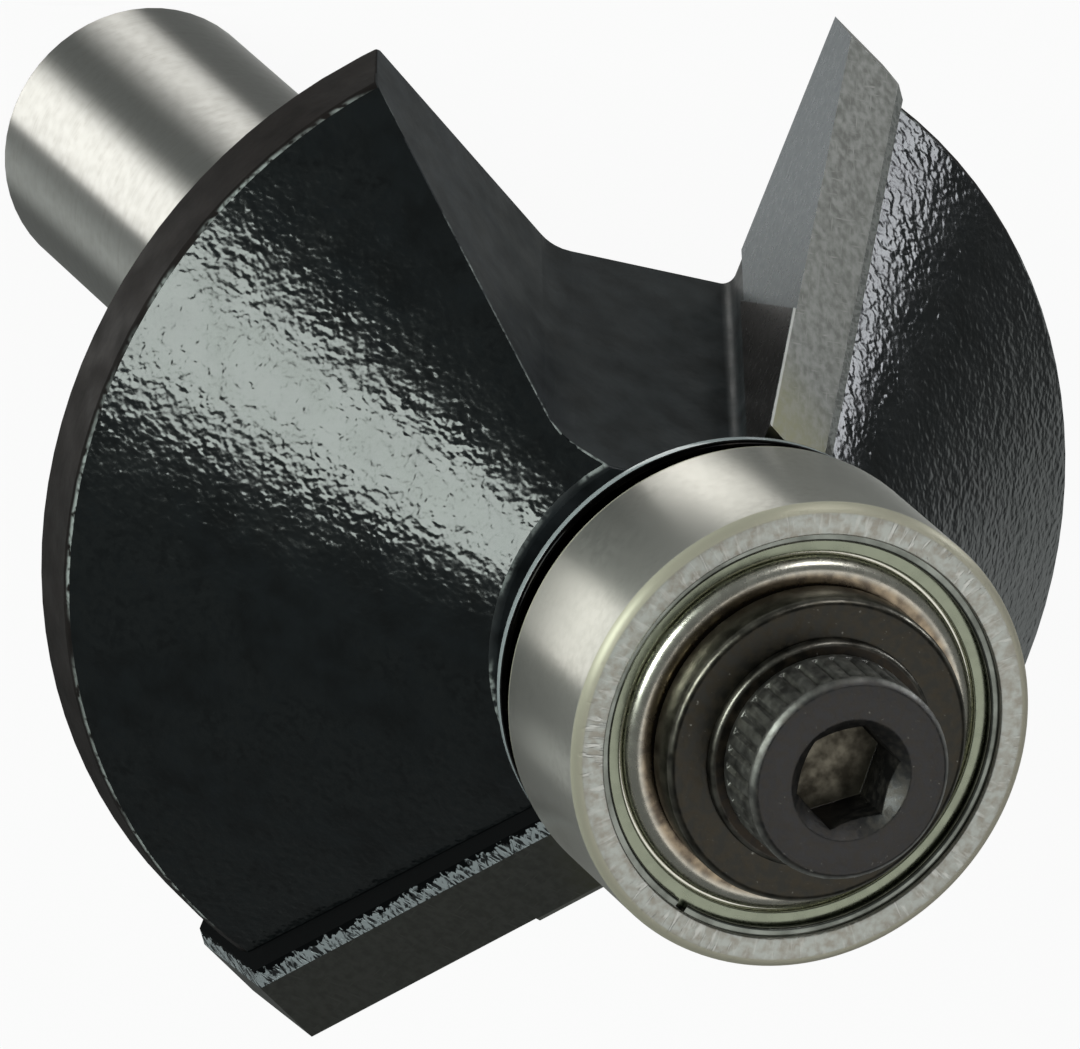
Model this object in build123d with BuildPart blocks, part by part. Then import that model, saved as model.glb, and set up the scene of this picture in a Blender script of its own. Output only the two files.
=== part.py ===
# Chamfer router bit: turned body with two skewed gullets, brazed carbide tips and a ball bearing guide.
from build123d import *
from math import cos, radians, sin, sqrt, tan
import os

os.makedirs("parts", exist_ok=True)

# Shank and head, in millimetres. The shank stands on z = 0 and the nose points up.
shank_diameter = 8.0
shank_length = 32.4
shank_end_chamfer = 0.2
tip_diameter = 30.5
tip_projection = 1.0
rim_width = 2.05
cone_angle = 45.0
nose_diameter = 11.0
edge_break = 0.12
neck_diameter = 7.2
neck_length = 1.9

# Gullets. The channel leans sideways and dives toward the axis on its way to the nose.
shear_angle = 15.0
dive_angle = 16.5
floor_height = 7.0
floor_tilt = 4.6
floor_left = -2.6
wall_angle = 28.2
floor_round_open = 1.8
floor_round_tip = 0.35
ledge_depth = 0.2

# Carbide tips and the braze behind them.
hook_offset = 2.53
tip_thickness = 1.9
tip_land = 2.8
tip_overhang = 1.0
tip_nose_width = 1.51
tip_relief = 30.0
land_relief = 25.0
grind_depth = 0.1
grind_foot = 6.81
grind_slope = 0.2163
braze_thickness = 0.3
braze_slope = 52.0

# Guide bearing.
bearing_diameter = 12.7
bearing_bore = 4.762
bearing_width = 4.978
bearing_corner = 0.3
ball_share = 0.5845
ball_count = 7
outer_shoulder = 0.476
inner_shoulder = 0.345
counterbore_step = 0.46
counterbore_depth = 0.6
race_clearance = 0.03
race_groove_extra = 0.06
cage_thickness = 0.72
cage_web = 0.24
cage_opening = 0.46
cage_pocket_clearance = 0.08
spigot_clearance = 0.01
spigot_setback = 0.3
race_corner = 0.15

# Shields and the open wire rings that hold them.
shield_sheet = 0.2
shield_sink = 0.4
shield_rise_sink = 0.14
shield_crease = 0.08
shield_shoulder = 0.24
shield_web = 0.32
shield_clearance = 0.04
shield_to_inner_ring = 0.25
ring_groove_depth = 0.12
ring_groove_width = 0.25
wire_width = 0.34
wire_thickness = 0.22
wire_gap = 0.8
wire_gap_turn = -107.8

# Nose stack.
disc_setback = 0.2
disc_clearance = 0.02
disc_corner = 0.15
disc_thickness = 0.5
boss_diameter = 6.6
boss_height = 0.79
washer_diameter = 8.3
washer_thickness = 1.1
washer_corner = 0.12
washer_clearance = 0.1
lock_washer_diameter = 6.2
lock_washer_thickness = 0.3
lock_washer_corner = 0.15
screw_diameter = 3.0
screw_length = 8.0
screw_clearance = 0.02
head_diameter = 5.5
head_height = 2.0
head_corner = 0.16
hex_across_flats = 2.5
hex_depth = 1.75
countersink = 0.4
hex_turn = 33.0
knurl_count = 36
knurl_cut = 0.16
knurl_foot = 0.2
knurl_top = 0.3
thread_end = 0.3

# Heights along the axis worked out from the sizes above.
head_back = shank_length
cone_start = head_back + rim_width
body_diameter = tip_diameter - 2 * tip_projection
nose_end = cone_start + (body_diameter - nose_diameter) / 2 / tan(radians(cone_angle))
neck_end = nose_end + neck_length
bearing_back = neck_end + disc_thickness + boss_height
bearing_front = bearing_back + bearing_width
spigot_end = bearing_front - spigot_setback
washer_front = bearing_front + washer_thickness
head_base = washer_front + lock_washer_thickness
head_top = head_base + head_height
bearing_middle = (bearing_back + bearing_front) / 2
pitch_radius = (bearing_bore + bearing_diameter) / 4
ring_section = (bearing_diameter - bearing_bore) / 2
ball_radius = ball_share * ring_section / 2
land_radius = pitch_radius + ball_radius - outer_shoulder
inner_ring_radius = pitch_radius - ball_radius + inner_shoulder
counterbore_radius = land_radius + counterbore_step
disc_radius = bearing_diameter / 2 - disc_setback
disc_bore = bearing_bore / 2 - spigot_clearance + disc_clearance
cage_back = ball_radius + cage_web
cage_lip = ball_radius - cage_opening
spigot_radius = bearing_bore / 2 - spigot_clearance
hole_radius = screw_diameter / 2 + screw_clearance

# Direction of the gullets for one millimetre of height.
lean = tan(radians(shear_angle))
dive = tan(radians(dive_angle))
channel = Vector(-lean, -dive, 1.0)

# The rake plane holds both cutting edges of a tip. Its normal points into the tip.
rake = Plane(
    origin=(hook_offset, 0, head_back),
    x_dir=(0, 1, 0),
    z_dir=(cos(radians(shear_angle)), 0, sin(radians(shear_angle))),
)
slant = 1 / cos(radians(shear_angle))


def edge_height(radius, rise):
    # Height above the axis of a point of the rake plane at this radius, this far above the head back.
    across = hook_offset - lean * rise
    return sqrt(radius**2 - across**2)


# Corners of a tip in the rake plane: across from the axis, then up along the plane.
tip_radius = tip_diameter / 2
nose_rise = nose_end + tip_overhang - head_back
nose_radius = tip_radius - (nose_rise - tip_land) * tan(radians(cone_angle))
back_corner = (edge_height(tip_radius, 0), 0)
land_corner = (edge_height(tip_radius, tip_land), tip_land * slant)
nose_corner = (edge_height(nose_radius, nose_rise), nose_rise * slant)
inner_nose = (nose_corner[0] - tip_nose_width, nose_rise * slant)
inner_back = (inner_nose[0] + dive * nose_rise, 0)


def relief_plane(start, end, relief, depth=0, drop=0):
    # Plane through an edge of the rake face, falling away behind it by the relief angle.
    # It can start some depth behind the face, already lowered by a drop.
    a = rake.from_local_coords(Vector(start[0], start[1], depth))
    b = rake.from_local_coords(Vector(end[0], end[1], depth))
    along = (b - a).normalized()
    outward = along.cross(rake.z_dir)
    if outward.Y < 0:
        outward = outward * -1
    tilt = radians(relief)
    normal = outward * cos(tilt) + rake.z_dir * sin(tilt)
    return Plane(origin=a - outward * drop, x_dir=along, z_dir=normal)


# Turned blank: shank, rim, cone, neck and spigot from one outline spun round the axis.
with BuildPart() as body:
    with BuildSketch(Plane.XZ) as outline:
        with BuildLine():
            Polyline(
                (0, 0),
                (shank_diameter / 2, 0),
                (shank_diameter / 2, head_back),
                (body_diameter / 2, head_back),
                (body_diameter / 2, cone_start),
                (nose_diameter / 2, nose_end),
                (neck_diameter / 2, nose_end),
                (neck_diameter / 2, neck_end),
                (spigot_radius, neck_end),
                (spigot_radius, spigot_end),
                (0, spigot_end),
                close=True,
            )
        make_face()
        shank_corner = outline.vertices().group_by(Axis.Y)[0].sort_by(Axis.X)[-1]
        chamfer(shank_corner, shank_end_chamfer)
        rim_corners = outline.vertices().filter_by(lambda v: v.X > body_diameter / 2 - 0.01)
        chamfer(rim_corners, edge_break)
        nose_edge = outline.vertices().filter_by(
            lambda v: abs(v.X - nose_diameter / 2) < 0.01 and abs(v.Y - nose_end) < 0.01
        )
        chamfer(nose_edge, edge_break)
    revolve(axis=Axis.Z)

# One gullet: flat floor between the open wall and the wall under the tip.
gullet_start = 1.0
gullet_end = nose_end - head_back + 1.0
tip_wall = hook_offset + ledge_depth * slant
floor_rise = tan(radians(floor_tilt))
wall_foot = floor_height + floor_rise * floor_left
section_plane = Plane(Vector(0, 0, head_back) - channel * gullet_start)
with BuildPart() as gullet:
    with BuildSketch(section_plane) as channel_section:
        with BuildLine():
            Polyline(
                (floor_left, wall_foot),
                (tip_wall, floor_height + floor_rise * tip_wall),
                (tip_wall, body_diameter),
                (floor_left - body_diameter, body_diameter),
                (floor_left - body_diameter, wall_foot + body_diameter * tan(radians(wall_angle))),
                close=True,
            )
        make_face()
        low = channel_section.vertices().sort_by(Axis.Y)
        fillet(low[0], floor_round_open)
        fillet(channel_section.vertices().sort_by(Axis.Y)[2], floor_round_tip)
    extrude(amount=(gullet_start + gullet_end), dir=channel)

# Pocket that takes the tip and its braze, open toward the gullet, the rim and both ends.
pocket_depth = tip_thickness + braze_thickness
pocket_overrun = 2.0
pocket_reach = nose_rise + pocket_overrun
with BuildPart() as pocket:
    with BuildSketch(rake.offset(-pocket_overrun)):
        with BuildLine():
            Polyline(
                (inner_back[0] + dive * pocket_overrun, -pocket_overrun * slant),
                (body_diameter, -pocket_overrun * slant),
                (body_diameter, pocket_reach * slant),
                (inner_back[0] - dive * pocket_reach, pocket_reach * slant),
                close=True,
            )
        make_face()
    extrude(amount=pocket_depth + pocket_overrun)

with BuildPart() as cutter_body:
    add(body.part)
    for turn in (0, 180):
        add(gullet.part, rotation=(0, 0, turn), mode=Mode.SUBTRACT)
        add(pocket.part, rotation=(0, 0, turn), mode=Mode.SUBTRACT)
    with BuildSketch(Plane.XY.offset(spigot_end)):
        Circle(hole_radius)
    extrude(amount=-(screw_length + 1.0), mode=Mode.SUBTRACT)
cutter_body.part.label = "cutter_body"
export_step(cutter_body.part, "parts/cutter_body.step")

# Carbide tip: a slanted plate whose rim and chamfer edges fall away behind the cutting edge.
# Its rake face is ground a little lower from the rim down to a line above the toe.
overrun = 1.0
with BuildPart() as tip:
    with BuildSketch(rake):
        with BuildLine():
            Polyline(
                (back_corner[0], -overrun),
                back_corner,
                land_corner,
                (nose_corner[0] - overrun, nose_corner[1] + overrun * slant),
                (inner_nose[0] - dive * overrun, inner_nose[1] + overrun * slant),
                (inner_back[0] + dive * overrun, -overrun * slant),
                close=True,
            )
        make_face()
    extrude(amount=tip_thickness)
    with BuildSketch(rake):
        with BuildLine():
            Polyline(
                (grind_foot - grind_slope * overrun, -overrun),
                (body_diameter, -overrun),
                (body_diameter, pocket_reach * slant),
                (grind_foot + grind_slope * pocket_reach * slant, pocket_reach * slant),
                close=True,
            )
        make_face()
    extrude(amount=grind_depth, mode=Mode.SUBTRACT)
    split(bisect_by=relief_plane(land_corner, nose_corner, tip_relief), keep=Keep.BOTTOM)
    split(bisect_by=relief_plane(back_corner, land_corner, land_relief), keep=Keep.BOTTOM)
    split(bisect_by=Plane.XY.offset(head_back), keep=Keep.TOP)
    split(bisect_by=Plane.XY.offset(head_back + nose_rise), keep=Keep.BOTTOM)

for number, turn in enumerate((0, 180), start=1):
    with BuildPart() as carbide_tip:
        add(tip.part, rotation=(0, 0, turn))
    carbide_tip.part.label = f"carbide_tip_{number}"
    export_step(carbide_tip.part, f"parts/carbide_tip_{number}.step")

# Braze behind the tip. Its open edges slope from the tip down to the enamelled body.
tip_drop = tip_thickness * tan(radians(tip_relief))
land_drop = tip_thickness * tan(radians(land_relief))
with BuildPart() as braze:
    with BuildSketch(rake.offset(tip_thickness)):
        with BuildLine():
            Polyline(
                (back_corner[0], -overrun),
                (back_corner[0], land_corner[1]),
                nose_corner,
                inner_nose,
                (inner_back[0] + dive * overrun, -overrun * slant),
                close=True,
            )
        make_face()
    extrude(amount=braze_thickness)
    split(
        bisect_by=relief_plane(land_corner, nose_corner, braze_slope, tip_thickness, tip_drop),
        keep=Keep.BOTTOM,
    )
    split(
        bisect_by=relief_plane(back_corner, land_corner, braze_slope, tip_thickness, land_drop),
        keep=Keep.BOTTOM,
    )
    split(bisect_by=Plane.XY.offset(head_back), keep=Keep.TOP)
    split(bisect_by=Plane.XY.offset(nose_end), keep=Keep.BOTTOM)

for number, turn in enumerate((0, 180), start=1):
    with BuildPart() as braze_seam:
        add(braze.part, rotation=(0, 0, turn))
    braze_seam.part.label = f"braze_seam_{number}"
    export_step(braze_seam.part, f"parts/braze_seam_{number}.step")

# Dust disc: a thin flange with a boss that bears on the inner ring of the bearing.
with BuildPart() as dust_disc:
    with BuildSketch(Plane.XZ) as disc_section:
        with BuildLine():
            Polyline(
                (disc_bore, neck_end),
                (disc_radius, neck_end),
                (disc_radius, neck_end + disc_thickness),
                (boss_diameter / 2, neck_end + disc_thickness),
                (boss_diameter / 2, bearing_back),
                (disc_bore, bearing_back),
                close=True,
            )
        make_face()
        rim_edge = disc_section.vertices().filter_by(lambda v: v.X > disc_radius - 0.01)
        chamfer(rim_edge, disc_corner)
    revolve(axis=Axis.Z)
dust_disc.part.label = "dust_disc"
export_step(dust_disc.part, "parts/dust_disc.step")

# Bearing rings. Each race is a round groove a little wider than the balls.
race_radius = ball_radius + race_groove_extra
race_shift = race_groove_extra - race_clearance
ring_groove_radius = counterbore_radius + ring_groove_depth
ring_groove_sink = shield_sink - shield_clearance - wire_thickness / 2
with BuildPart() as outer_ring:
    with BuildSketch(Plane.XZ) as outer_section:
        with Locations((land_radius, bearing_middle)):
            Rectangle(bearing_diameter / 2 - land_radius, bearing_width, align=(Align.MIN, Align.CENTER))
        chamfer(outer_section.vertices().group_by(Axis.X)[-1], bearing_corner)
        for level, side in ((bearing_front, Align.MAX), (bearing_back, Align.MIN)):
            with Locations((land_radius, level)):
                Rectangle(counterbore_step, counterbore_depth, align=(Align.MIN, side), mode=Mode.SUBTRACT)
        for level in (bearing_front - ring_groove_sink, bearing_back + ring_groove_sink):
            with Locations((land_radius, level)):
                Rectangle(
                    ring_groove_radius - land_radius,
                    ring_groove_width,
                    align=(Align.MIN, Align.CENTER),
                    mode=Mode.SUBTRACT,
                )
        with Locations((pitch_radius - race_shift, bearing_middle)):
            Circle(race_radius, mode=Mode.SUBTRACT)
    revolve(axis=Axis.Z)
outer_ring.part.label = "bearing_outer_ring"
export_step(outer_ring.part, "parts/bearing_outer_ring.step")

with BuildPart() as inner_ring:
    with BuildSketch(Plane.XZ) as inner_section:
        with Locations((bearing_bore / 2, bearing_middle)):
            Rectangle(inner_ring_radius - bearing_bore / 2, bearing_width, align=(Align.MIN, Align.CENTER))
        chamfer(inner_section.vertices(), race_corner)
        with Locations((pitch_radius + race_shift, bearing_middle)):
            Circle(race_radius, mode=Mode.SUBTRACT)
    revolve(axis=Axis.Z)
inner_ring.part.label = "bearing_inner_ring"
export_step(inner_ring.part, "parts/bearing_inner_ring.step")

# Balls and the cage that spaces them.
for number in range(ball_count):
    around = radians(number * 360 / ball_count)
    with BuildPart() as ball:
        with Locations((pitch_radius * cos(around), pitch_radius * sin(around), bearing_middle)):
            Sphere(ball_radius)
    ball.part.label = f"bearing_ball_{number + 1}"
    export_step(ball.part, f"parts/bearing_ball_{number + 1}.step")

# The cage is a crown: its pockets are round holes that open on the side of the lips.
with BuildPart() as cage:
    with BuildSketch(Plane.XY.offset(bearing_middle - cage_lip)):
        Circle(pitch_radius + cage_thickness / 2)
        Circle(pitch_radius - cage_thickness / 2, mode=Mode.SUBTRACT)
    extrude(amount=cage_lip + cage_back)
    with Locations(Plane.XY.offset(bearing_middle)):
        with PolarLocations(pitch_radius, ball_count):
            Cylinder(
                ball_radius + cage_pocket_clearance,
                2 * cage_thickness,
                rotation=(0, 90, 0),
                mode=Mode.SUBTRACT,
            )
cage.part.label = "bearing_cage"
export_step(cage.part, "parts/bearing_cage.step")

# Pressed shield: a flat rim, a crease, and a raised middle with a broken shoulder.
shield_rim = counterbore_radius - shield_clearance
shield_bore = inner_ring_radius + shield_to_inner_ring
crease_outer = land_radius - ring_groove_depth
crease_inner = crease_outer - shield_crease
web_inner = crease_inner - shield_web
rim_level = bearing_front - shield_sink
rise_level = bearing_front - shield_rise_sink
seat_level = bearing_front - counterbore_depth
foot_level = seat_level - shield_sheet
with BuildPart() as shield:
    with BuildSketch(Plane.XZ) as shield_section:
        with BuildLine():
            Polyline(
                (shield_rim, seat_level),
                (shield_rim, rim_level),
                (crease_outer, rim_level),
                (crease_outer, seat_level),
                (crease_inner, seat_level),
                (crease_inner, rise_level),
                (shield_bore, rise_level),
                (shield_bore, rise_level - shield_sheet),
                (web_inner, rise_level - shield_sheet),
                (web_inner, foot_level),
                (land_radius - shield_clearance, foot_level),
                (land_radius - shield_clearance, seat_level),
                close=True,
            )
        make_face()
        shoulder = shield_section.vertices().filter_by(
            lambda v: abs(v.X - crease_inner) < 0.01 and abs(v.Y - rise_level) < 0.01
        )
        chamfer(shoulder, shield_shoulder)
    revolve(axis=Axis.Z)

# Open wire ring in the groove of the outer ring, standing on the rim of the shield.
wire_outer = ring_groove_radius - shield_clearance / 2
with BuildPart() as snap_ring:
    with BuildSketch(Plane.XY.offset(rim_level + shield_clearance)):
        Circle(wire_outer)
        Circle(wire_outer - wire_width, mode=Mode.SUBTRACT)
        with PolarLocations(wire_outer, 1, start_angle=wire_gap_turn):
            Rectangle(2 * wire_width + wire_gap, wire_gap, mode=Mode.SUBTRACT)
    extrude(amount=wire_thickness)

middle_plane = Plane.XY.offset(bearing_middle)
for name, side in (("front", False), ("back", True)):
    with BuildPart() as shield_piece:
        add(mirror(shield.part, about=middle_plane) if side else shield.part)
    shield_piece.part.label = f"bearing_shield_{name}"
    export_step(shield_piece.part, f"parts/bearing_shield_{name}.step")
    with BuildPart() as ring_piece:
        add(mirror(snap_ring.part, about=middle_plane) if side else snap_ring.part)
    ring_piece.part.label = f"snap_ring_{name}"
    export_step(ring_piece.part, f"parts/snap_ring_{name}.step")

# Retaining washer and the thin lock washer under the screw head.
with BuildPart() as washer:
    with BuildSketch(Plane.XY.offset(bearing_front)):
        Circle(washer_diameter / 2)
        Circle(screw_diameter / 2 + washer_clearance, mode=Mode.SUBTRACT)
    extrude(amount=washer_thickness)
    chamfer(washer.edges().filter_by(GeomType.CIRCLE).sort_by(SortBy.RADIUS)[-2:], washer_corner)
washer.part.label = "washer"
export_step(washer.part, "parts/washer.step")

with BuildPart() as lock_washer:
    with BuildSketch(Plane.XY.offset(washer_front)):
        Circle(lock_washer_diameter / 2)
        Circle(screw_diameter / 2 + washer_clearance, mode=Mode.SUBTRACT)
    extrude(amount=lock_washer_thickness)
    chamfer(lock_washer.edges().group_by(Axis.Z)[-1].sort_by(SortBy.RADIUS)[-1], lock_washer_corner)
lock_washer.part.label = "lock_washer"
export_step(lock_washer.part, "parts/lock_washer.step")

# Socket head cap screw with a straight knurl and a countersunk hexagon.
with BuildPart() as cap_screw:
    with BuildSketch(Plane.XY.offset(head_base)):
        Circle(head_diameter / 2)
    extrude(amount=head_height)
    chamfer(cap_screw.edges().group_by(Axis.Z)[-1], head_corner)
    with BuildSketch(Plane.XY.offset(head_base + knurl_foot)):
        with PolarLocations(head_diameter / 2, knurl_count):
            Rectangle(knurl_cut, knurl_cut, rotation=45)
    extrude(amount=head_height - knurl_foot - knurl_top, mode=Mode.SUBTRACT)
    with BuildSketch(Plane.XY.offset(head_top)):
        RegularPolygon(hex_across_flats / 2, 6, major_radius=False, rotation=hex_turn)
    extrude(amount=-hex_depth, mode=Mode.SUBTRACT)
    with Locations((0, 0, head_top - countersink / 2)):
        Cone(hex_across_flats / 2, hex_across_flats / 2 + countersink, countersink, mode=Mode.SUBTRACT)
    with BuildSketch(Plane.XY.offset(head_base - screw_length)):
        Circle(screw_diameter / 2)
    extrude(amount=screw_length)
    chamfer(cap_screw.edges().group_by(Axis.Z)[0], thread_end)
cap_screw.part.label = "cap_screw"
export_step(cap_screw.part, "parts/cap_screw.step")
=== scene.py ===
from math import cos, hypot, pi, radians, sin, sqrt

import bpy
from mathutils import Matrix, Vector


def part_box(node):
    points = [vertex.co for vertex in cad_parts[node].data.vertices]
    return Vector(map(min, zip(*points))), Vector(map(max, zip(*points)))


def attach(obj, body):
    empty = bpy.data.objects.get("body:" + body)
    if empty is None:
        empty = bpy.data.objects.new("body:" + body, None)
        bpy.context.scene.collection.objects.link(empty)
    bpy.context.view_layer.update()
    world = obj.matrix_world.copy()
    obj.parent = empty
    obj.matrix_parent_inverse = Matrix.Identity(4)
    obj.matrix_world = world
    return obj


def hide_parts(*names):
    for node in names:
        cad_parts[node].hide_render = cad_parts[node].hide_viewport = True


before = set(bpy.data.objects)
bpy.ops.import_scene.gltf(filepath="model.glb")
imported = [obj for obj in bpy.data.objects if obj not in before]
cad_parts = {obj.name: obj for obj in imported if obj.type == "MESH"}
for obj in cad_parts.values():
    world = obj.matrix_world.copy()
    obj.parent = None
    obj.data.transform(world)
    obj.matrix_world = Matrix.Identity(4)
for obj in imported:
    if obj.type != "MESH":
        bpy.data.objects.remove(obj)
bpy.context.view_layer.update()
mm = 0.001
print("frame loaded:", len(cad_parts), "nodes")


def linear(hexColour):
    # An sRGB hex colour as the linear numbers that a shader takes.
    channels = [int(hexColour[i:i + 2], 16) / 255 for i in (1, 3, 5)]
    return [c / 12.92 if c <= 0.04045 else ((c + 0.055) / 1.055) ** 2.4 for c in channels] + [1.0]


def addNode(tree, kind, settings=None, links=None):
    # One shader node. Settings are its own options or unlinked sockets, links are sockets fed by others.
    node = tree.nodes.new(kind)
    for name, value in (settings or {}).items():
        if isinstance(name, int) or name in node.inputs:
            node.inputs[name].default_value = value
        else:
            setattr(node, name, value)
    for name, source in (links or {}).items():
        tree.links.new(source, node.inputs[name])
    return node


# Camera: a long lens that looks down at the nose, at the photograph's angle.
photoCamera = {
    "eye": (-0.22773, 0.09356, 0.48913),
    "right": (0.86043, 0.36687, 0.35367),
    "up": (-0.25872, 0.91245, -0.31705),
    "lensMm": 648.2,
    "sensorMm": 36.0,
}


def addCamera(values):
    data = bpy.data.cameras.new("photoCamera")
    data.lens = values["lensMm"]
    data.sensor_width = values["sensorMm"]
    data.clip_start = 0.05
    data.clip_end = 20.0
    camera = bpy.data.objects.new("photoCamera", data)
    bpy.context.scene.collection.objects.link(camera)
    right = Vector(values["right"]).normalized()
    up = Vector(values["up"])
    up = (up - right * up.dot(right)).normalized()
    back = right.cross(up)
    turn = Matrix((right, up, back)).transposed()
    camera.matrix_world = Matrix.Translation(values["eye"]) @ turn.to_4x4()
    bpy.context.scene.camera = camera


addCamera(photoCamera)
print("camera set")


# Lights: soft boxes round the bit, five of them under the clear table that it stands on.
# Azimuth and elevation in degrees, sizes and distance in metres, radiance where 1 is white.
studioLights = {
    "keyBox": {
        "azimuth": 176, "elevation": 27, "distance": 0.5, "wide": 0.22, "high": 0.20, "radiance": 10.5,
        "colour": "#F4FFF8",
    },
    "sideBox": {
        "azimuth": 44, "elevation": 3, "distance": 0.5, "wide": 0.10, "high": 0.12, "radiance": 8.0,
        "colour": "#F6FAFF",
    },
    "upperBox": {
        "azimuth": 82, "elevation": 36, "distance": 0.5, "wide": 0.14, "high": 0.14, "radiance": 4.5,
        "colour": "#FFFFFF",
    },
    "lowBoxLeft": {
        "azimuth": 187, "elevation": -62, "distance": 0.5, "wide": 0.19, "high": 0.22, "radiance": 2.5,
        "colour": "#FFFEFA",
    },
    "lowBoxTop": {
        "azimuth": 96, "elevation": -62, "distance": 0.5, "wide": 0.14, "high": 0.22, "radiance": 1.65,
        "colour": "#FFFEFA",
    },
    "lowBoxRight": {
        "azimuth": 0, "elevation": -62, "distance": 0.5, "wide": 0.14, "high": 0.20, "radiance": 0.45,
        "colour": "#FFFEFA",
    },
    "lowBoxEdge": {
        "azimuth": -115, "elevation": -62, "distance": 0.5, "wide": 0.08, "high": 0.20,
        "radiance": 0.75, "colour": "#F4FAF6",
    },
    "lowBoxMiddle": {
        "azimuth": -71, "elevation": -81, "distance": 0.5, "wide": 0.13, "high": 0.13, "radiance": 0.42,
        "colour": "#F8FBFC",
    },
    "topFill": {
        "azimuth": -23, "elevation": 61, "distance": 0.6, "wide": 0.40, "high": 0.40, "radiance": 0.9,
        "colour": "#FFFFFF",
    },
}
lightAim = Vector((0, 0, 0.040))


def addLight(name, values):
    azimuth = radians(values["azimuth"])
    elevation = radians(values["elevation"])
    direction = Vector((cos(azimuth) * cos(elevation), sin(azimuth) * cos(elevation), sin(elevation)))
    data = bpy.data.lights.new(name, "AREA")
    data.shape = "RECTANGLE"
    data.size = values["wide"]
    data.size_y = values["high"]
    data.color = linear(values["colour"])[:3]
    # A flat lamp of this radiance gives pi times its area in watts.
    data.energy = values["radiance"] * pi * values["wide"] * values["high"]
    lamp = bpy.data.objects.new(name, data)
    bpy.context.scene.collection.objects.link(lamp)
    lamp.location = lightAim + direction * values["distance"]
    lamp.rotation_euler = (-direction).to_track_quat("-Z", "Y").to_euler()
    lamp.visible_camera = False


for lightName, lightValues in studioLights.items():
    addLight(lightName, lightValues)


# World: a plain studio. It is dim above the table, white paper all round at its edge, and white for the camera.
# The levels are radiances. The pairs are heights, from -1 straight down to 1 straight up, between which one level
# goes over into the next.
studioRoom = {
    "colour": "#E4EAE8", "above": 0.15, "paper": 0.66, "below": 0.13,
    "belowToPaper": (-0.74, -0.45), "paperToAbove": (-0.38, -0.25),
}


def addWorld(values):
    world = bpy.data.worlds.new("studioRoom")
    bpy.context.scene.world = world
    world.use_nodes = True
    tree = world.node_tree
    tree.nodes.clear()
    path = addNode(tree, "ShaderNodeLightPath")
    direction = addNode(tree, "ShaderNodeTexCoord")
    split = addNode(tree, "ShaderNodeSeparateXYZ", {}, {0: direction.outputs["Generated"]})
    start, end = values["belowToPaper"]
    lower = addNode(tree, "ShaderNodeMapRange", {
        "interpolation_type": "SMOOTHSTEP", "From Min": start, "From Max": end,
        "To Min": values["below"], "To Max": values["paper"],
    }, {"Value": split.outputs["Z"]})
    start, end = values["paperToAbove"]
    upper = addNode(tree, "ShaderNodeMapRange", {
        "interpolation_type": "SMOOTHSTEP", "From Min": start, "From Max": end,
    }, {"Value": split.outputs["Z"]})
    level = addNode(tree, "ShaderNodeMix", {3: values["above"]}, {0: upper.outputs[0], 2: lower.outputs[0]})
    room = addNode(tree, "ShaderNodeBackground", {"Color": linear(values["colour"])}, {
        "Strength": level.outputs[0],
    })
    white = addNode(tree, "ShaderNodeBackground", {"Color": linear("#FFFFFF"), "Strength": 1.0})
    mix = addNode(tree, "ShaderNodeMixShader", {}, {
        "Fac": path.outputs["Is Camera Ray"], 1: room.outputs[0], 2: white.outputs[0],
    })
    addNode(tree, "ShaderNodeOutputWorld", {}, {"Surface": mix.outputs[0]})


addWorld(studioRoom)


# Floor: white paper for the camera that keeps a faint shadow. It lets the low boxes through.
paperFloor = {"size": 6.0, "colour": "#F6F6F4", "whiteShare": 0.93}


def addFloor(values):
    bpy.ops.object.select_all(action="DESELECT")
    bpy.ops.mesh.primitive_plane_add(size=values["size"], location=(0, 0, 0))
    floor = bpy.context.object
    floor.name = "paperFloor"
    material = bpy.data.materials.new("mattWhitePaper")
    material.use_nodes = True
    tree = material.node_tree
    tree.nodes.clear()
    path = addNode(tree, "ShaderNodeLightPath")
    seen = addNode(tree, "ShaderNodeMath", {"operation": "MAXIMUM"}, {
        0: path.outputs["Is Camera Ray"], 1: path.outputs["Is Glossy Ray"],
    })
    share = addNode(tree, "ShaderNodeMath", {"operation": "MULTIPLY", 1: values["whiteShare"]}, {
        0: seen.outputs[0],
    })
    paper = addNode(tree, "ShaderNodeBsdfDiffuse", {"Color": linear(values["colour"])})
    white = addNode(tree, "ShaderNodeEmission", {"Color": linear("#FFFFFF"), "Strength": 1.0})
    mix = addNode(tree, "ShaderNodeMixShader", {}, {
        "Fac": share.outputs[0], 1: paper.outputs[0], 2: white.outputs[0],
    })
    addNode(tree, "ShaderNodeOutputMaterial", {}, {"Surface": mix.outputs[0]})
    floor.data.materials.append(material)
    floor.visible_glossy = False
    floor.visible_shadow = False


addFloor(paperFloor)
print("lights and floor set")


# Materials. Every pattern reads Object coordinates, and its size is given in millimetres.
def newMaterial(name):
    material = bpy.data.materials.new(name)
    material.use_nodes = True
    tree = material.node_tree
    tree.nodes.clear()
    surface = tree.nodes.new("ShaderNodeBsdfPrincipled")
    output = tree.nodes.new("ShaderNodeOutputMaterial")
    tree.links.new(surface.outputs["BSDF"], output.inputs["Surface"])
    coordinates = tree.nodes.new("ShaderNodeTexCoord")
    return material, tree, surface, coordinates.outputs["Object"]


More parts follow.
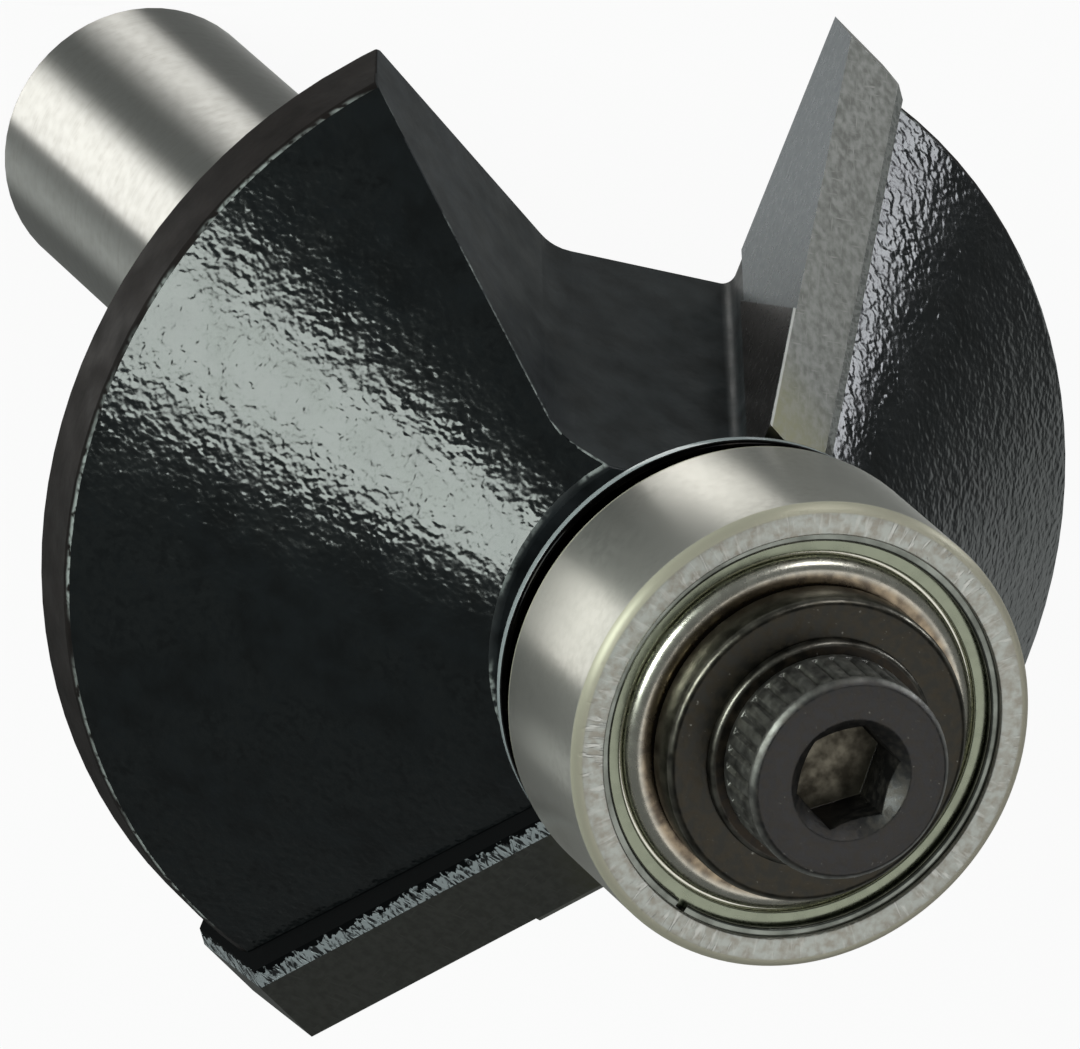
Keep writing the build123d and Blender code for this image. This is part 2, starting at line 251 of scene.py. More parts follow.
def polarPlace(tree, place):
    # Place on a turned piece: turn round the axis in radians, radius and height in metres.
    split = addNode(tree, "ShaderNodeSeparateXYZ", {}, {0: place})
    flat = addNode(tree, "ShaderNodeCombineXYZ", {}, {0: split.outputs["X"], 1: split.outputs["Y"]})
    radius = addNode(tree, "ShaderNodeVectorMath", {"operation": "LENGTH"}, {0: flat.outputs[0]})
    turn = addNode(tree, "ShaderNodeMath", {"operation": "ARCTAN2"}, {0: split.outputs["Y"], 1: split.outputs["X"]})
    return turn.outputs[0], radius.outputs["Value"], split.outputs["Z"]


def band(tree, value, start, end):
    # Goes smoothly from 0 to 1 while the value, in metres, goes up or down from start to end, in millimetres.
    ramp = addNode(tree, "ShaderNodeMapRange", {
        "interpolation_type": "SMOOTHSTEP", "From Min": start * mm, "From Max": end * mm,
    }, {"Value": value})
    return ramp.outputs[0]


def alongLine(tree, place, direction, offset):
    # How far a point lies along a direction, past an offset in millimetres. The answer is in metres.
    dot = addNode(tree, "ShaderNodeVectorMath", {"operation": "DOT_PRODUCT", 1: direction}, {0: place})
    past = addNode(tree, "ShaderNodeMath", {"operation": "SUBTRACT", 1: offset * mm}, {0: dot.outputs["Value"]})
    return past.outputs[0]


def grain(tree, place, size, detail=2.0, contrast=(0.35, 0.65), stretch=(1, 1, 1)):
    # Noise whose spots are about this many millimetres across, pushed to between 0 and 1.
    scaled = addNode(tree, "ShaderNodeMapping", {"Scale": [s / (size * mm) for s in stretch]}, {"Vector": place})
    noise = addNode(tree, "ShaderNodeTexNoise", {"Scale": 1.0, "Detail": detail}, {"Vector": scaled.outputs[0]})
    ramp = addNode(tree, "ShaderNodeMapRange", {
        "From Min": contrast[0], "From Max": contrast[1],
    }, {"Value": noise.outputs[0]})
    return ramp.outputs[0]


def blend(tree, share, first, second):
    # Colour between two. Each is a hex colour or another node's output.
    mix = addNode(tree, "ShaderNodeMix", {"data_type": "RGBA"}, {0: share})
    for socket, colour in ((6, first), (7, second)):
        if isinstance(colour, str):
            mix.inputs[socket].default_value = linear(colour)
        else:
            tree.links.new(colour, mix.inputs[socket])
    return mix.outputs[2]


def between(tree, share, low, high):
    # Number between two, such as a roughness.
    ramp = addNode(tree, "ShaderNodeMapRange", {"To Min": low, "To Max": high}, {"Value": share})
    return ramp.outputs[0]


def product(tree, first, second):
    return addNode(tree, "ShaderNodeMath", {"operation": "MULTIPLY"}, {0: first, 1: second}).outputs[0]


def relief(tree, height, depth, below=None):
    # Bump of this many micrometres from a pattern of 0 to 1.
    links = {"Height": height}
    if below:
        links["Normal"] = below
    return addNode(tree, "ShaderNodeBump", {"Strength": 1.0, "Distance": depth * 1e-6}, links).outputs[0]


# Baked enamel, sprayed on the head. It is glossy with an orange peel on the cone and thin and dull on the rim.
# The worn colour is painted along the edges of the cone: partly rubbed-thin enamel, partly a painted highlight.
enamelCone = {
    "base": "#0C0F10", "dusty": "#14181A", "worn": "#16191A", "gloss": 0.5, "roughness": (0.12, 0.19),
    "peelMm": 0.25, "peelUm": 17, "swellMm": 1.2, "swellUm": 8,
}
enamelGullet = {
    "base": "#171A1C", "dusty": "#2B2F32", "worn": "#A4AAA8", "gloss": 0.45, "roughness": (0.34, 0.50),
    "peelMm": 0.28, "peelUm": 8, "swellMm": 1.8, "swellUm": 14,
}
enamelRim = {
    "base": "#161211", "dusty": "#201B1A", "worn": "#A4AAA8", "gloss": 0.12, "roughness": (0.48, 0.60),
    "peelMm": 0.25, "peelUm": 4, "swellMm": 2.0, "swellUm": 6,
}

# Radius and height of a point on the cone add up to this many millimetres.
coneSum = 48.70


def bakedEnamel(name, values):
    material, tree, surface, place = newMaterial(name)
    dust = grain(tree, place, 0.9, 4.0)
    colour = blend(tree, dust, values["base"], values["dusty"])
    # Along the edges of the cone the colour goes light in short runs: partly enamel rubbed thin, partly a painted
    # highlight.
    turn, radius, height = polarPlace(tree, place)
    slantSum = addNode(tree, "ShaderNodeMath", {"operation": "ADD"}, {0: radius, 1: height}).outputs[0]
    flecks = grain(tree, place, 0.22, 3.0, (0.38, 0.56))
    rubAndHighlightRuns = grain(tree, place, 2.6, 1.0, (0.40, 0.55))
    edge = product(tree, band(tree, slantSum, coneSum - 0.09, coneSum - 0.03), product(tree, flecks, rubAndHighlightRuns))
    tree.links.new(blend(tree, edge, colour, values["worn"]), surface.inputs["Base Color"])
    tree.links.new(between(tree, grain(tree, place, 1.1, 3.0), *values["roughness"]), surface.inputs["Roughness"])
    swell = relief(tree, grain(tree, place, values["swellMm"], 1.0, (0.2, 0.8)), values["swellUm"])
    peel = relief(tree, grain(tree, place, values["peelMm"], 1.2, (0.2, 0.8)), values["peelUm"], swell)
    tree.links.new(peel, surface.inputs["Normal"])
    surface.inputs["IOR"].default_value = 1.5
    surface.inputs["Specular IOR Level"].default_value = values["gloss"]
    return material


coneEnamel = bakedEnamel("glossBlackBakedEnamel", enamelCone)
gulletEnamel = bakedEnamel("satinBlackBakedEnamel", enamelGullet)
rimEnamel = bakedEnamel("dullBlackBakedEnamel", enamelRim)


# Ground tool steel of the shank: fine lines round it from centreless grinding, 0.08 mm apart so that they show.
shankSteel = {
    "light": "#C4C3BF", "dark": "#B9B7B2", "roughness": (0.29, 0.32), "anisotropy": 0.8, "lineMm": 0.08,
    "lineUm": 0.16, "spotMm": 0.3,
}


def groundShank(values):
    material, tree, surface, place = newMaterial("centrelessGroundToolSteel")
    spots = grain(tree, place, values["spotMm"], 3.0)
    lines = grain(tree, place, values["lineMm"], 2.0, (0.3, 0.7), (0.03, 0.03, 1))
    colour = blend(tree, product(tree, spots, lines), values["light"], values["dark"])
    tree.links.new(colour, surface.inputs["Base Color"])
    tree.links.new(between(tree, spots, *values["roughness"]), surface.inputs["Roughness"])
    tree.links.new(relief(tree, lines, values["lineUm"]), surface.inputs["Normal"])
    surface.inputs["Metallic"].default_value = 1.0
    # The grinding lines spread a highlight along the shank.
    surface.inputs["Anisotropic"].default_value = values["anisotropy"]
    surface.inputs["Anisotropic Rotation"].default_value = 0.25
    return material


shankMetal = groundShank(shankSteel)


# Hardened bearing steel: a ground wall, a yellowed round corner, and a face with short nicks across it.
bearingSteel = {
    "light": "#E2E0D8", "dark": "#A5A196", "face": "#B6B9B2", "nick": "#D6D6CF", "corner": "#CDC8B4",
    "roughness": (0.30, 0.33), "cornerRoughness": 0.46,
    "anisotropy": 0.8, "nickMm": 0.15, "nickLongMm": 2 / 3, "nickUm": 6, "nickRadius": 5.8, "spotMm": 0.22,
    "cornerMm": (0.22, 0.27),
}


def groundRing(values, low, high, outerRadius):
    material, tree, surface, place = newMaterial("groundHardenedBearingSteel")
    turn, radius, height = polarPlace(tree, place)
    spots = grain(tree, place, values["spotMm"], 4.0, (0.38, 0.66))
    clouds = between(tree, grain(tree, place, 2.6, 2.0, (0.4, 0.62)), 0.0, 0.2)
    wall = blend(tree, product(tree, spots, clouds), values["light"], values["dark"])
    face = addNode(tree, "ShaderNodeMath", {"operation": "MAXIMUM"}, {
        0: band(tree, height, high - 0.06, high - 0.02),
        1: band(tree, height, low + 0.06, low + 0.02),
    }).outputs[0]
    # Nicks: noise drawn out across the face.
    around = addNode(tree, "ShaderNodeMath", {
        "operation": "MULTIPLY", 1: values["nickRadius"] / values["nickMm"]}, {0: turn}).outputs[0]
    across = addNode(tree, "ShaderNodeMath", {
        "operation": "MULTIPLY", 1: 1 / (values["nickLongMm"] * mm)}, {0: radius}).outputs[0]
    scaled = addNode(tree, "ShaderNodeCombineXYZ", {}, {0: around, 1: across})
    noise = addNode(tree, "ShaderNodeTexNoise", {
        "Scale": 1.0, "Detail": 2.5, "Distortion": 0.4}, {"Vector": scaled.outputs[0]})
    nicks = addNode(tree, "ShaderNodeMapRange", {
        "From Min": 0.54, "From Max": 0.66}, {"Value": noise.outputs[0]}).outputs[0]
    patches = between(tree, grain(tree, place, 3.4, 1.0, (0.4, 0.6)), 0.35, 1.0)
    worn = product(tree, product(tree, nicks, face), patches)
    colour = blend(tree, face, wall, blend(tree, spots, values["face"], values["dark"]))
    colour = blend(tree, worn, colour, values["nick"])
    # The corner is heat-tinted a pale yellow.
    narrow, wide = values["cornerMm"]
    ends = addNode(tree, "ShaderNodeMath", {"operation": "MAXIMUM"}, {
        0: band(tree, height, high - wide, high - narrow),
        1: band(tree, height, low + wide, low + narrow),
    }).outputs[0]
    rim = band(tree, radius, outerRadius - narrow - 0.06, outerRadius - narrow + 0.01)
    corner = product(tree, rim, ends)
    colour = blend(tree, corner, colour, values["corner"])
    tree.links.new(colour, surface.inputs["Base Color"])
    rough = addNode(tree, "ShaderNodeMix", {3: values["cornerRoughness"]}, {
        0: corner, 2: between(tree, spots, *values["roughness"])})
    tree.links.new(rough.outputs[0], surface.inputs["Roughness"])
    tree.links.new(between(tree, corner, 1.0, 0.5), surface.inputs["Metallic"])
    tree.links.new(relief(tree, worn, -values["nickUm"]), surface.inputs["Normal"])
    # The wall is ground round, which spreads a highlight along it.
    surface.inputs["Anisotropic"].default_value = values["anisotropy"]
    surface.inputs["Anisotropic Rotation"].default_value = 0.25
    return material


ringLow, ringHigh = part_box("bearing_outer_ring")
bearingBack, bearingFront = ringLow.z / mm, ringHigh.z / mm
bearingRadius = ringHigh.x / mm
ringMetal = groundRing(bearingSteel, bearingBack, bearingFront, bearingRadius)


# Pressed shield steel, one sheet painted in rings: a painted highlight on the shoulder of the raised middle,
# painted shade and a painted reflection of the washer in beige and brown inside it, and a green-grey flat ring.
shieldSteel = {
    "light": "#E2DFD2", "flat": "#8D927F", "washerShadeReflection": "#A09079", "dark": "#6A5F52",
    "roughness": (0.22, 0.30), "spotMm": 0.35, "shadeToHighlight": (4.30, 4.62), "flatStart": (4.88, 4.91),
}


def pressedShield(values):
    material, tree, surface, place = newMaterial("pressedShieldSteel")
    turn, radius, height = polarPlace(tree, place)
    spots = grain(tree, place, values["spotMm"], 4.0)
    # The inner part of the raised middle is painted beige and brown as shade and a reflection of the washer; the
    # shoulder is painted light as a highlight.
    washerShadeReflection = blend(tree, spots, values["washerShadeReflection"], values["dark"])
    colour = blend(tree, band(tree, radius, *values["shadeToHighlight"]), washerShadeReflection, values["light"])
    colour = blend(tree, band(tree, radius, *values["flatStart"]), colour, values["flat"])
    tree.links.new(colour, surface.inputs["Base Color"])
    tree.links.new(between(tree, spots, *values["roughness"]), surface.inputs["Roughness"])
    tree.links.new(relief(tree, spots, 1.5), surface.inputs["Normal"])
    surface.inputs["Metallic"].default_value = 1.0
    return material


shieldMetal = pressedShield(shieldSteel)


# Plain metals that differ only in colour, gloss and the size of their spots.
plainMetals = {
    "coldDrawnSpringWire": {
        "light": "#8E928A", "dark": "#6A6D66", "roughness": (0.18, 0.26), "spotMm": 0.8,
        "reliefUm": 0.5,
    },
    "polishedBallSteel": {
        "light": "#D6D6D4", "dark": "#C6C6C4", "roughness": (0.05, 0.10), "spotMm": 0.6,
        "reliefUm": 0.1,
    },
    "groundRaceSteel": {
        "light": "#CBC9C2", "dark": "#A5A299", "roughness": (0.20, 0.32), "spotMm": 0.3, "reliefUm": 1,
    },
    "pressedCageBrass": {
        "light": "#C8A862", "dark": "#8E7440", "roughness": (0.28, 0.42), "spotMm": 0.4, "reliefUm": 2,
    },
    "socketFloorSteel": {
        "light": "#706B5E", "dark": "#4E493F", "roughness": (0.35, 0.5), "spotMm": 0.4, "reliefUm": 2,
    },
}


def plainMetal(name):
    values = plainMetals[name]
    material, tree, surface, place = newMaterial(name)
    spots = grain(tree, place, values["spotMm"], 4.0)
    tree.links.new(blend(tree, spots, values["light"], values["dark"]), surface.inputs["Base Color"])
    tree.links.new(between(tree, spots, *values["roughness"]), surface.inputs["Roughness"])
    tree.links.new(relief(tree, spots, values["reliefUm"]), surface.inputs["Normal"])
    surface.inputs["Metallic"].default_value = 1.0
    return material


wireMetal = plainMetal("coldDrawnSpringWire")
ballMetal = plainMetal("polishedBallSteel")
raceMetal = plainMetal("groundRaceSteel")
cageMetal = plainMetal("pressedCageBrass")
socketMetal = plainMetal("socketFloorSteel")


# Black oxide on alloy steel: almost black, brown where it is thin, and light along its outer edge, which is partly
# worn bare metal and partly a painted highlight.
blackOxides = {
    "washer": {
        "dark": "#383733", "brown": "#4A453C", "worn": "#8B877D", "edgeMm": 4.10,
        "roughness": (0.28, 0.42), "spotMm": 0.30,
    },
    "lockWasher": {
        "dark": "#2C2A27", "brown": "#423B33", "worn": "#8B8880", "edgeMm": 3.04,
        "roughness": (0.32, 0.45), "spotMm": 0.3,
    },
    "screw": {
        "dark": "#4A4949", "brown": "#5A5652", "worn": "#A09F9A", "edgeMm": 2.70,
        "roughness": (0.44, 0.58), "spotMm": 0.22,
    },
    "dustDisc": {
        "dark": "#0D0D0E", "brown": "#1A1816", "worn": "#A8B0B3", "edgeMm": 6.12,
        "wallMm": (45.21, 45.47), "roughness": (0.10, 0.2), "spotMm": 0.8,
    },
}
# Bare specks on every blackened piece.
bareFleck = "#B8B6AE"


def blackOxide(name):
    values = blackOxides[name]
    material, tree, surface, place = newMaterial(name + "BlackOxideSteel")
    turn, radius, height = polarPlace(tree, place)
    spots = grain(tree, place, values["spotMm"], 5.0, (0.4, 0.68))
    wearAndHighlightPatches = between(tree, grain(tree, place, 0.5, 4.0, (0.3, 0.6)), 0.15, 0.8)
    # The outer edge is painted light: partly worn bare metal, partly a painted highlight.
    edge = product(tree, band(tree, radius, values["edgeMm"] - 0.10, values["edgeMm"]), wearAndHighlightPatches)
    if "wallMm" in values:
        # Only the middle of the wall is painted a light grey line, a painted highlight that also stands for rubbed
        # bare metal.
        low, high = values["wallMm"]
        rim = band(tree, radius, values["edgeMm"] - 0.02, values["edgeMm"])
        edge = addNode(tree, "ShaderNodeMath", {"operation": "SUBTRACT"}, {
            0: product(tree, rim, band(tree, height, low, low + 0.04)),
            1: band(tree, height, high - 0.04, high)}).outputs[0]
    colour = blend(tree, spots, values["dark"], values["brown"])
    flecks = grain(tree, place, 0.12, 2.0, (0.70, 0.78))
    colour = blend(tree, product(tree, flecks, spots), colour, bareFleck)
    tree.links.new(blend(tree, edge, colour, values["worn"]), surface.inputs["Base Color"])
    tree.links.new(between(tree, spots, *values["roughness"]), surface.inputs["Roughness"])
    tree.links.new(relief(tree, spots, 3), surface.inputs["Normal"])
    surface.inputs["Metallic"].default_value = 1.0
    if "wallMm" in values:
        tree.links.new(between(tree, edge, 1.0, 0.15), surface.inputs["Metallic"])
    return material


washerMetal = blackOxide("washer")
lockWasherMetal = blackOxide("lockWasher")
screwMetal = blackOxide("screw")
discMetal = blackOxide("dustDisc")
print("turned finishes made")


# Places on a tip, in the plane of its rake face: across it, up it from the head's back, and into the tip.
rakePlane = {"shearDeg": 15.0, "offset": 2.53, "foot": 32.4, "reflectionFoot": 6.81, "reflectionSlope": 0.2163}
cuttingEdge = {"start": (15.15, 2.9), "end": (6.22, 12.2)}


def rakeDirection(across, up, turn):
    # A direction in the rake plane of the tip at this turn, and how far along it the plane's foot lies.
    lean = radians(rakePlane["shearDeg"])
    direction = Vector((-sin(lean) * up, across, cos(lean) * up))
    foot = direction.dot(Vector((rakePlane["offset"], 0, rakePlane["foot"])))
    turned = Matrix.Rotation(radians(turn), 3, "Z") @ direction
    return turned, foot


# Tungsten carbide, ground with a diamond wheel: flat grey with faint crossed scratches, and a painted highlight as
# a brighter line along the cutting edge. The relief faces turn olive towards the nose.
carbideRake = {
    "light": "#767C7F", "dark": "#70767A", "edge": "#9EA4A4", "marks": 0.12, "paintedFloorReflection": "#2C2522",
    "roughness": (0.26, 0.34), "edgeMm": 0.07,
}
carbideClearance = {
    "light": "#767671", "dark": "#63635E", "edge": "#A4A39D", "marks": 0.5, "olive": "#7C7A62",
    "roughness": (0.30, 0.40), "edgeMm": 0.05,
}


def carbideFinish(name, values, turn):
    material, tree, surface, place = newMaterial(name)
    startAcross, startUp = cuttingEdge["start"]
    endAcross, endUp = cuttingEdge["end"]
    length = hypot(endAcross - startAcross, endUp - startUp)
    inAcross, inUp = -(endUp - startUp) / length, (endAcross - startAcross) / length
    inward, foot = rakeDirection(inAcross, inUp, turn)
    fromEdge = alongLine(tree, place, inward, foot + inAcross * startAcross + inUp * startUp)
    spots = grain(tree, place, 0.25, 6.0, (0.36, 0.64))
    scratches = grain(tree, place, 0.06, 2.0, (0.62, 0.80), (1.0, 0.08, 0.10))
    crossed = grain(tree, place, 0.07, 2.0, (0.62, 0.80), (0.09, 1.0, 0.08))
    marks = addNode(tree, "ShaderNodeMath", {"operation": "MAXIMUM"}, {0: scratches, 1: crossed}).outputs[0]
    colour = blend(tree, spots, values["light"], values["dark"])
    colour = blend(tree, product(tree, marks, between(tree, spots, 0.0, values["marks"])), colour, values["edge"])
    if "paintedFloorReflection" in values:
        # Past this line the face is painted brown-black, a painted reflection of the dark gullet floor.
        step, foot = rakeDirection(-1.0, rakePlane["reflectionSlope"], turn)
        past = alongLine(tree, place, step, foot - rakePlane["reflectionFoot"])
        colour = blend(tree, band(tree, past, 0.0, 0.04), colour, values["paintedFloorReflection"])
    # A lighter line along the cutting edge: a painted highlight of the edge's small round.
    edge = band(tree, fromEdge, values["edgeMm"], values["edgeMm"] * 0.6)
    if "olive" in values:
        nose, foot = rakeDirection(0.0, 1.0, turn)
        towardNose = band(tree, alongLine(tree, place, nose, foot), 10.0, 12.0)
        colour = blend(tree, product(tree, towardNose, between(tree, spots, 0.5, 0.9)), colour, values["olive"])
    tree.links.new(blend(tree, edge, colour, values["edge"]), surface.inputs["Base Color"])
    tree.links.new(between(tree, spots, *values["roughness"]), surface.inputs["Roughness"])
    tree.links.new(relief(tree, marks, 0.3), surface.inputs["Normal"])
    surface.inputs["Metallic"].default_value = 1.0
    return material


# Silver braze, ground across: a slanted hatch about 0.2 mm apart, light and almost black. Enamel covers its back.
brazeHatch = {
    "light": "#A2A8AC", "dark": "#1E2022", "pitchMm": 0.11, "strokeMm": 0.22, "mirror": 0.35,
    "roughness": (0.32, 0.5), "reliefUm": 10, "enamel": "#0A0B0C", "enamelRoughness": 0.15,
    "enamelMm": 13.01, "raggedMm": 0.14,
}
# On the first wing the braze is ground flush and shows as a plain grey margin beside the tip.
brazeFlush = {
    "light": "#8C8E8A", "dark": "#6E706D", "pitchMm": 0.11, "strokeMm": 0.22, "mirror": 0.35,
    "roughness": (0.4, 0.5), "reliefUm": 2, "enamel": "#0A0B0C", "enamelRoughness": 0.15,
    "enamelMm": 13.2, "raggedMm": 0.14,
}


def silverBraze(name, values, turn):
    material, tree, surface, place = newMaterial(name)
    startAcross, startUp = cuttingEdge["start"]
    endAcross, endUp = cuttingEdge["end"]
    length = hypot(endAcross - startAcross, endUp - startUp)
    alongAcross, alongUp = (endAcross - startAcross) / length, (endUp - startUp) / length
    along, foot = rakeDirection(alongAcross, alongUp, turn)
    lean = radians(rakePlane["shearDeg"])
    into = Matrix.Rotation(radians(turn), 3, "Z") @ Vector((cos(lean), 0, sin(lean)))
    crossing = alongLine(tree, place, into, 0.0)
    strokes = []
    for slant in (0.9, -0.7):
        # Strokes that lean one way: noise drawn out across the strip.
        run = alongLine(tree, place, along + into * slant, 0.0)
        apart = addNode(tree, "ShaderNodeMath", {
            "operation": "MULTIPLY", 1: 1 / (values["pitchMm"] * mm)}, {0: run}).outputs[0]
        long = addNode(tree, "ShaderNodeMath", {
            "operation": "MULTIPLY", 1: 1 / (values["strokeMm"] * mm)}, {0: crossing}).outputs[0]
        scaled = addNode(tree, "ShaderNodeCombineXYZ", {}, {0: apart, 1: long})
        noise = addNode(tree, "ShaderNodeTexNoise", {
            "Scale": 1.0, "Detail": 2.0, "Distortion": 0.3}, {"Vector": scaled.outputs[0]})
        strokes.append(addNode(tree, "ShaderNodeMapRange", {
            "From Min": 0.46, "From Max": 0.54}, {"Value": noise.outputs[0]}).outputs[0])
    fewer = product(tree, strokes[1], grain(tree, place, 0.35, 1.0, (0.45, 0.55)))
    hatch = addNode(tree, "ShaderNodeMath", {"operation": "MAXIMUM"}, {0: strokes[0], 1: fewer}).outputs[0]
    # The enamel runs over the braze with a ragged edge.
    ragged = addNode(tree, "ShaderNodeMath", {"operation": "MULTIPLY_ADD", 1: values["raggedMm"] * mm}, {
        0: grain(tree, place, 0.2, 3.0), 2: crossing}).outputs[0]
    start, end = values["enamelMm"], values["enamelMm"] + 0.02
    covered, bare = band(tree, ragged, start, end), band(tree, ragged, end, start)
    colour = blend(tree, hatch, values["dark"], values["light"])
    tree.links.new(blend(tree, covered, colour, values["enamel"]), surface.inputs["Base Color"])
    # The rough strokes scatter light like a dull paint more than they mirror it.
    tree.links.new(between(tree, covered, values["mirror"], 0.0), surface.inputs["Metallic"])
    tree.links.new(between(tree, covered, 0.5, 0.05), surface.inputs["Specular IOR Level"])
    smooth, dull = values["roughness"]
    rough = addNode(tree, "ShaderNodeMix", {3: values["enamelRoughness"]}, {
        0: covered, 2: between(tree, hatch, dull, smooth)})
    tree.links.new(rough.outputs[0], surface.inputs["Roughness"])
    tree.links.new(relief(tree, product(tree, hatch, bare), values["reliefUm"]), surface.inputs["Normal"])
    return material


print("tip finishes made")


def startPiece(name):
    bpy.ops.object.mode_set(mode="OBJECT")
    piece = bpy.context.object
    piece.name = name
    piece.data.name = name
    return piece


def turnedPiece(name, profile, rounds, segments=128):
    # Lathe work: a circle at the profile's first point, extruded through the others and closed.
    # The profile is radius and height in millimetres, and rounds gives a point's edge a radius.
    bpy.ops.object.select_all(action="DESELECT")
    radius, height = profile[0]
    bpy.ops.mesh.primitive_circle_add(vertices=segments, radius=radius * mm, location=(0, 0, height * mm))
    bpy.ops.object.transform_apply(location=True, rotation=True, scale=True)
    bpy.ops.object.mode_set(mode="EDIT")
    bpy.ops.mesh.select_all(action="SELECT")
    for nextRadius, nextHeight in profile[1:] + profile[:1]:
        bpy.ops.mesh.extrude_edges_move(TRANSFORM_OT_translate={"value": (0, 0, (nextHeight - height) * mm)})
        share = nextRadius / radius
        bpy.ops.transform.resize(value=(share, share, 1))
        radius, height = nextRadius, nextHeight
    bpy.ops.mesh.select_all(action="SELECT")
    bpy.ops.mesh.remove_doubles(threshold=0.002 * mm)
    bpy.ops.mesh.normals_make_consistent(inside=False)
    piece = startPiece(name)
    for (ringRadius, ringHeight), width in rounds.items():
        roundEdge(piece, ringRadius, ringHeight, width)
    return piece


def roundEdge(piece, radius, height, width, segments=4):
    # Bevels the edge that runs round the piece at this radius and height.
    bpy.context.tool_settings.mesh_select_mode = (False, True, False)
    mesh = piece.data
    slack = 0.004 * mm
    near = [
        abs(hypot(v.co.x, v.co.y) - radius * mm) < slack + radius * 2e-7 and abs(v.co.z - height * mm) < slack
        for v in mesh.vertices
    ]
    for polygon in mesh.polygons:
        polygon.select = False
    for vertex in mesh.vertices:
        vertex.select = False
    for edge in mesh.edges:
        edge.select = near[edge.vertices[0]] and near[edge.vertices[1]]
    bpy.ops.object.mode_set(mode="EDIT")
    bpy.ops.mesh.bevel(offset=width * mm, segments=segments, affect="EDGES", clamp_overlap=True)
    bpy.ops.object.mode_set(mode="OBJECT")


def finishPiece(piece, body, nodes, materials, angle=35):
    # Smooth shading, finish, and the body and nodes that the piece stands for.
    bpy.ops.object.select_all(action="DESELECT")
    piece.select_set(True)
    bpy.context.view_layer.objects.active = piece
    bpy.ops.object.shade_smooth_by_angle(angle=radians(angle))
    if not piece.data.materials:
        for material in materials:
            piece.data.materials.append(material)
    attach(piece, body)
    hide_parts(*nodes)


# Guide bearing: the outer ring, the two pressed shields and the two wire rings.
outerRing = {
    "land": 5.049, "counterbore": 5.509, "counterboreDepth": 0.6, "groove": 5.629, "grooveWidth": 0.25,
    "grooveSink": 0.25, "corner": 0.27, "edge": 0.05, "race": 1.22, "raceCentre": 4.3355,
    "raceSteps": 12, "segments": 160,
}
bearingMiddle = (bearingBack + bearingFront) / 2
halfWidth = (bearingFront - bearingBack) / 2


def addOuterRing(values):
    reach = sqrt(values["race"] ** 2 - (values["land"] - values["raceCentre"]) ** 2)
    steps = values["raceSteps"]
    race = []
    for step in range(steps + 1):
        rise = reach * (1 - 2 * step / steps)
        race.append((values["raceCentre"] + sqrt(values["race"] ** 2 - rise ** 2), rise))
    edge = values["grooveWidth"] / 2
    half = [
        (bearingRadius, halfWidth),
        (values["counterbore"], halfWidth),
        (values["counterbore"], halfWidth - values["grooveSink"] + edge),
        (values["groove"], halfWidth - values["grooveSink"] + edge),
        (values["groove"], halfWidth - values["grooveSink"] - edge),
        (values["counterbore"], halfWidth - values["grooveSink"] - edge),
        (values["counterbore"], halfWidth - values["counterboreDepth"]),
        (values["land"], halfWidth - values["counterboreDepth"]),
    ]
    section = half + race + [(r, -z) for r, z in reversed(half)]
    profile = [(r, bearingMiddle + z) for r, z in section]
    rounds = {}
    for side in (1, -1):
        rounds[(bearingRadius, bearingMiddle + side * halfWidth)] = values["corner"]
        rounds[(values["counterbore"], bearingMiddle + side * halfWidth)] = values["edge"]
    ring = turnedPiece("outerRing", profile, rounds, values["segments"])
    finishPiece(ring, "guide_ring", ["bearing_outer_ring"], [ringMetal])


addOuterRing(outerRing)

shield = {
    "rim": 5.469, "sheet": 0.2, "sink": 0.4, "riseSink": 0.14, "creaseOuter": 4.929,
    "creaseInner": 4.849, "bore": 3.801, "web": 0.32, "creaseDraft": 0.02, "creaseLift": 0.03,
    "lip": 5.009, "seat": 0.6, "shoulder": 0.40, "edge": 0.05, "boreEdge": 0.06, "segments": 160,
}


def addShield(name, values, side):
    level = halfWidth - values["sink"]
    rise = halfWidth - values["riseSink"]
    seat = halfWidth - values["seat"]
    section = [
        (values["rim"], seat),
        (values["rim"], level),
        (values["creaseOuter"], level),
        (values["creaseOuter"] - values["creaseDraft"], seat + values["creaseLift"]),
        (values["creaseInner"], seat + values["creaseLift"]),
        (values["creaseInner"], rise),
        (values["bore"], rise),
        (values["bore"], rise - values["sheet"]),
        (values["creaseInner"] - values["web"], rise - values["sheet"]),
        (values["creaseInner"] - values["web"], seat - values["sheet"]),
        (values["lip"], seat - values["sheet"]),
        (values["lip"], seat),
    ]
    profile = [(r, bearingMiddle + side * z) for r, z in section]
    rounds = {
        (values["creaseInner"], bearingMiddle + side * rise): values["shoulder"],
        (values["creaseOuter"], bearingMiddle + side * level): values["edge"],
        (values["rim"], bearingMiddle + side * level): values["edge"],
        (values["bore"], bearingMiddle + side * rise): values["boreEdge"],
    }
    piece = turnedPiece("pressedShield_" + name, profile, rounds, values["segments"])
    finishPiece(piece, "guide_ring", ["bearing_shield_" + name], [shieldMetal])


addShield("front", shield, 1)
addShield("back", shield, -1)

wire = {
    "outer": 5.609, "width": 0.34, "thickness": 0.22, "round": 0.105, "sink": 0.25, "gap": 0.3,
    "gapTurn": -107.8, "steps": 150,
}


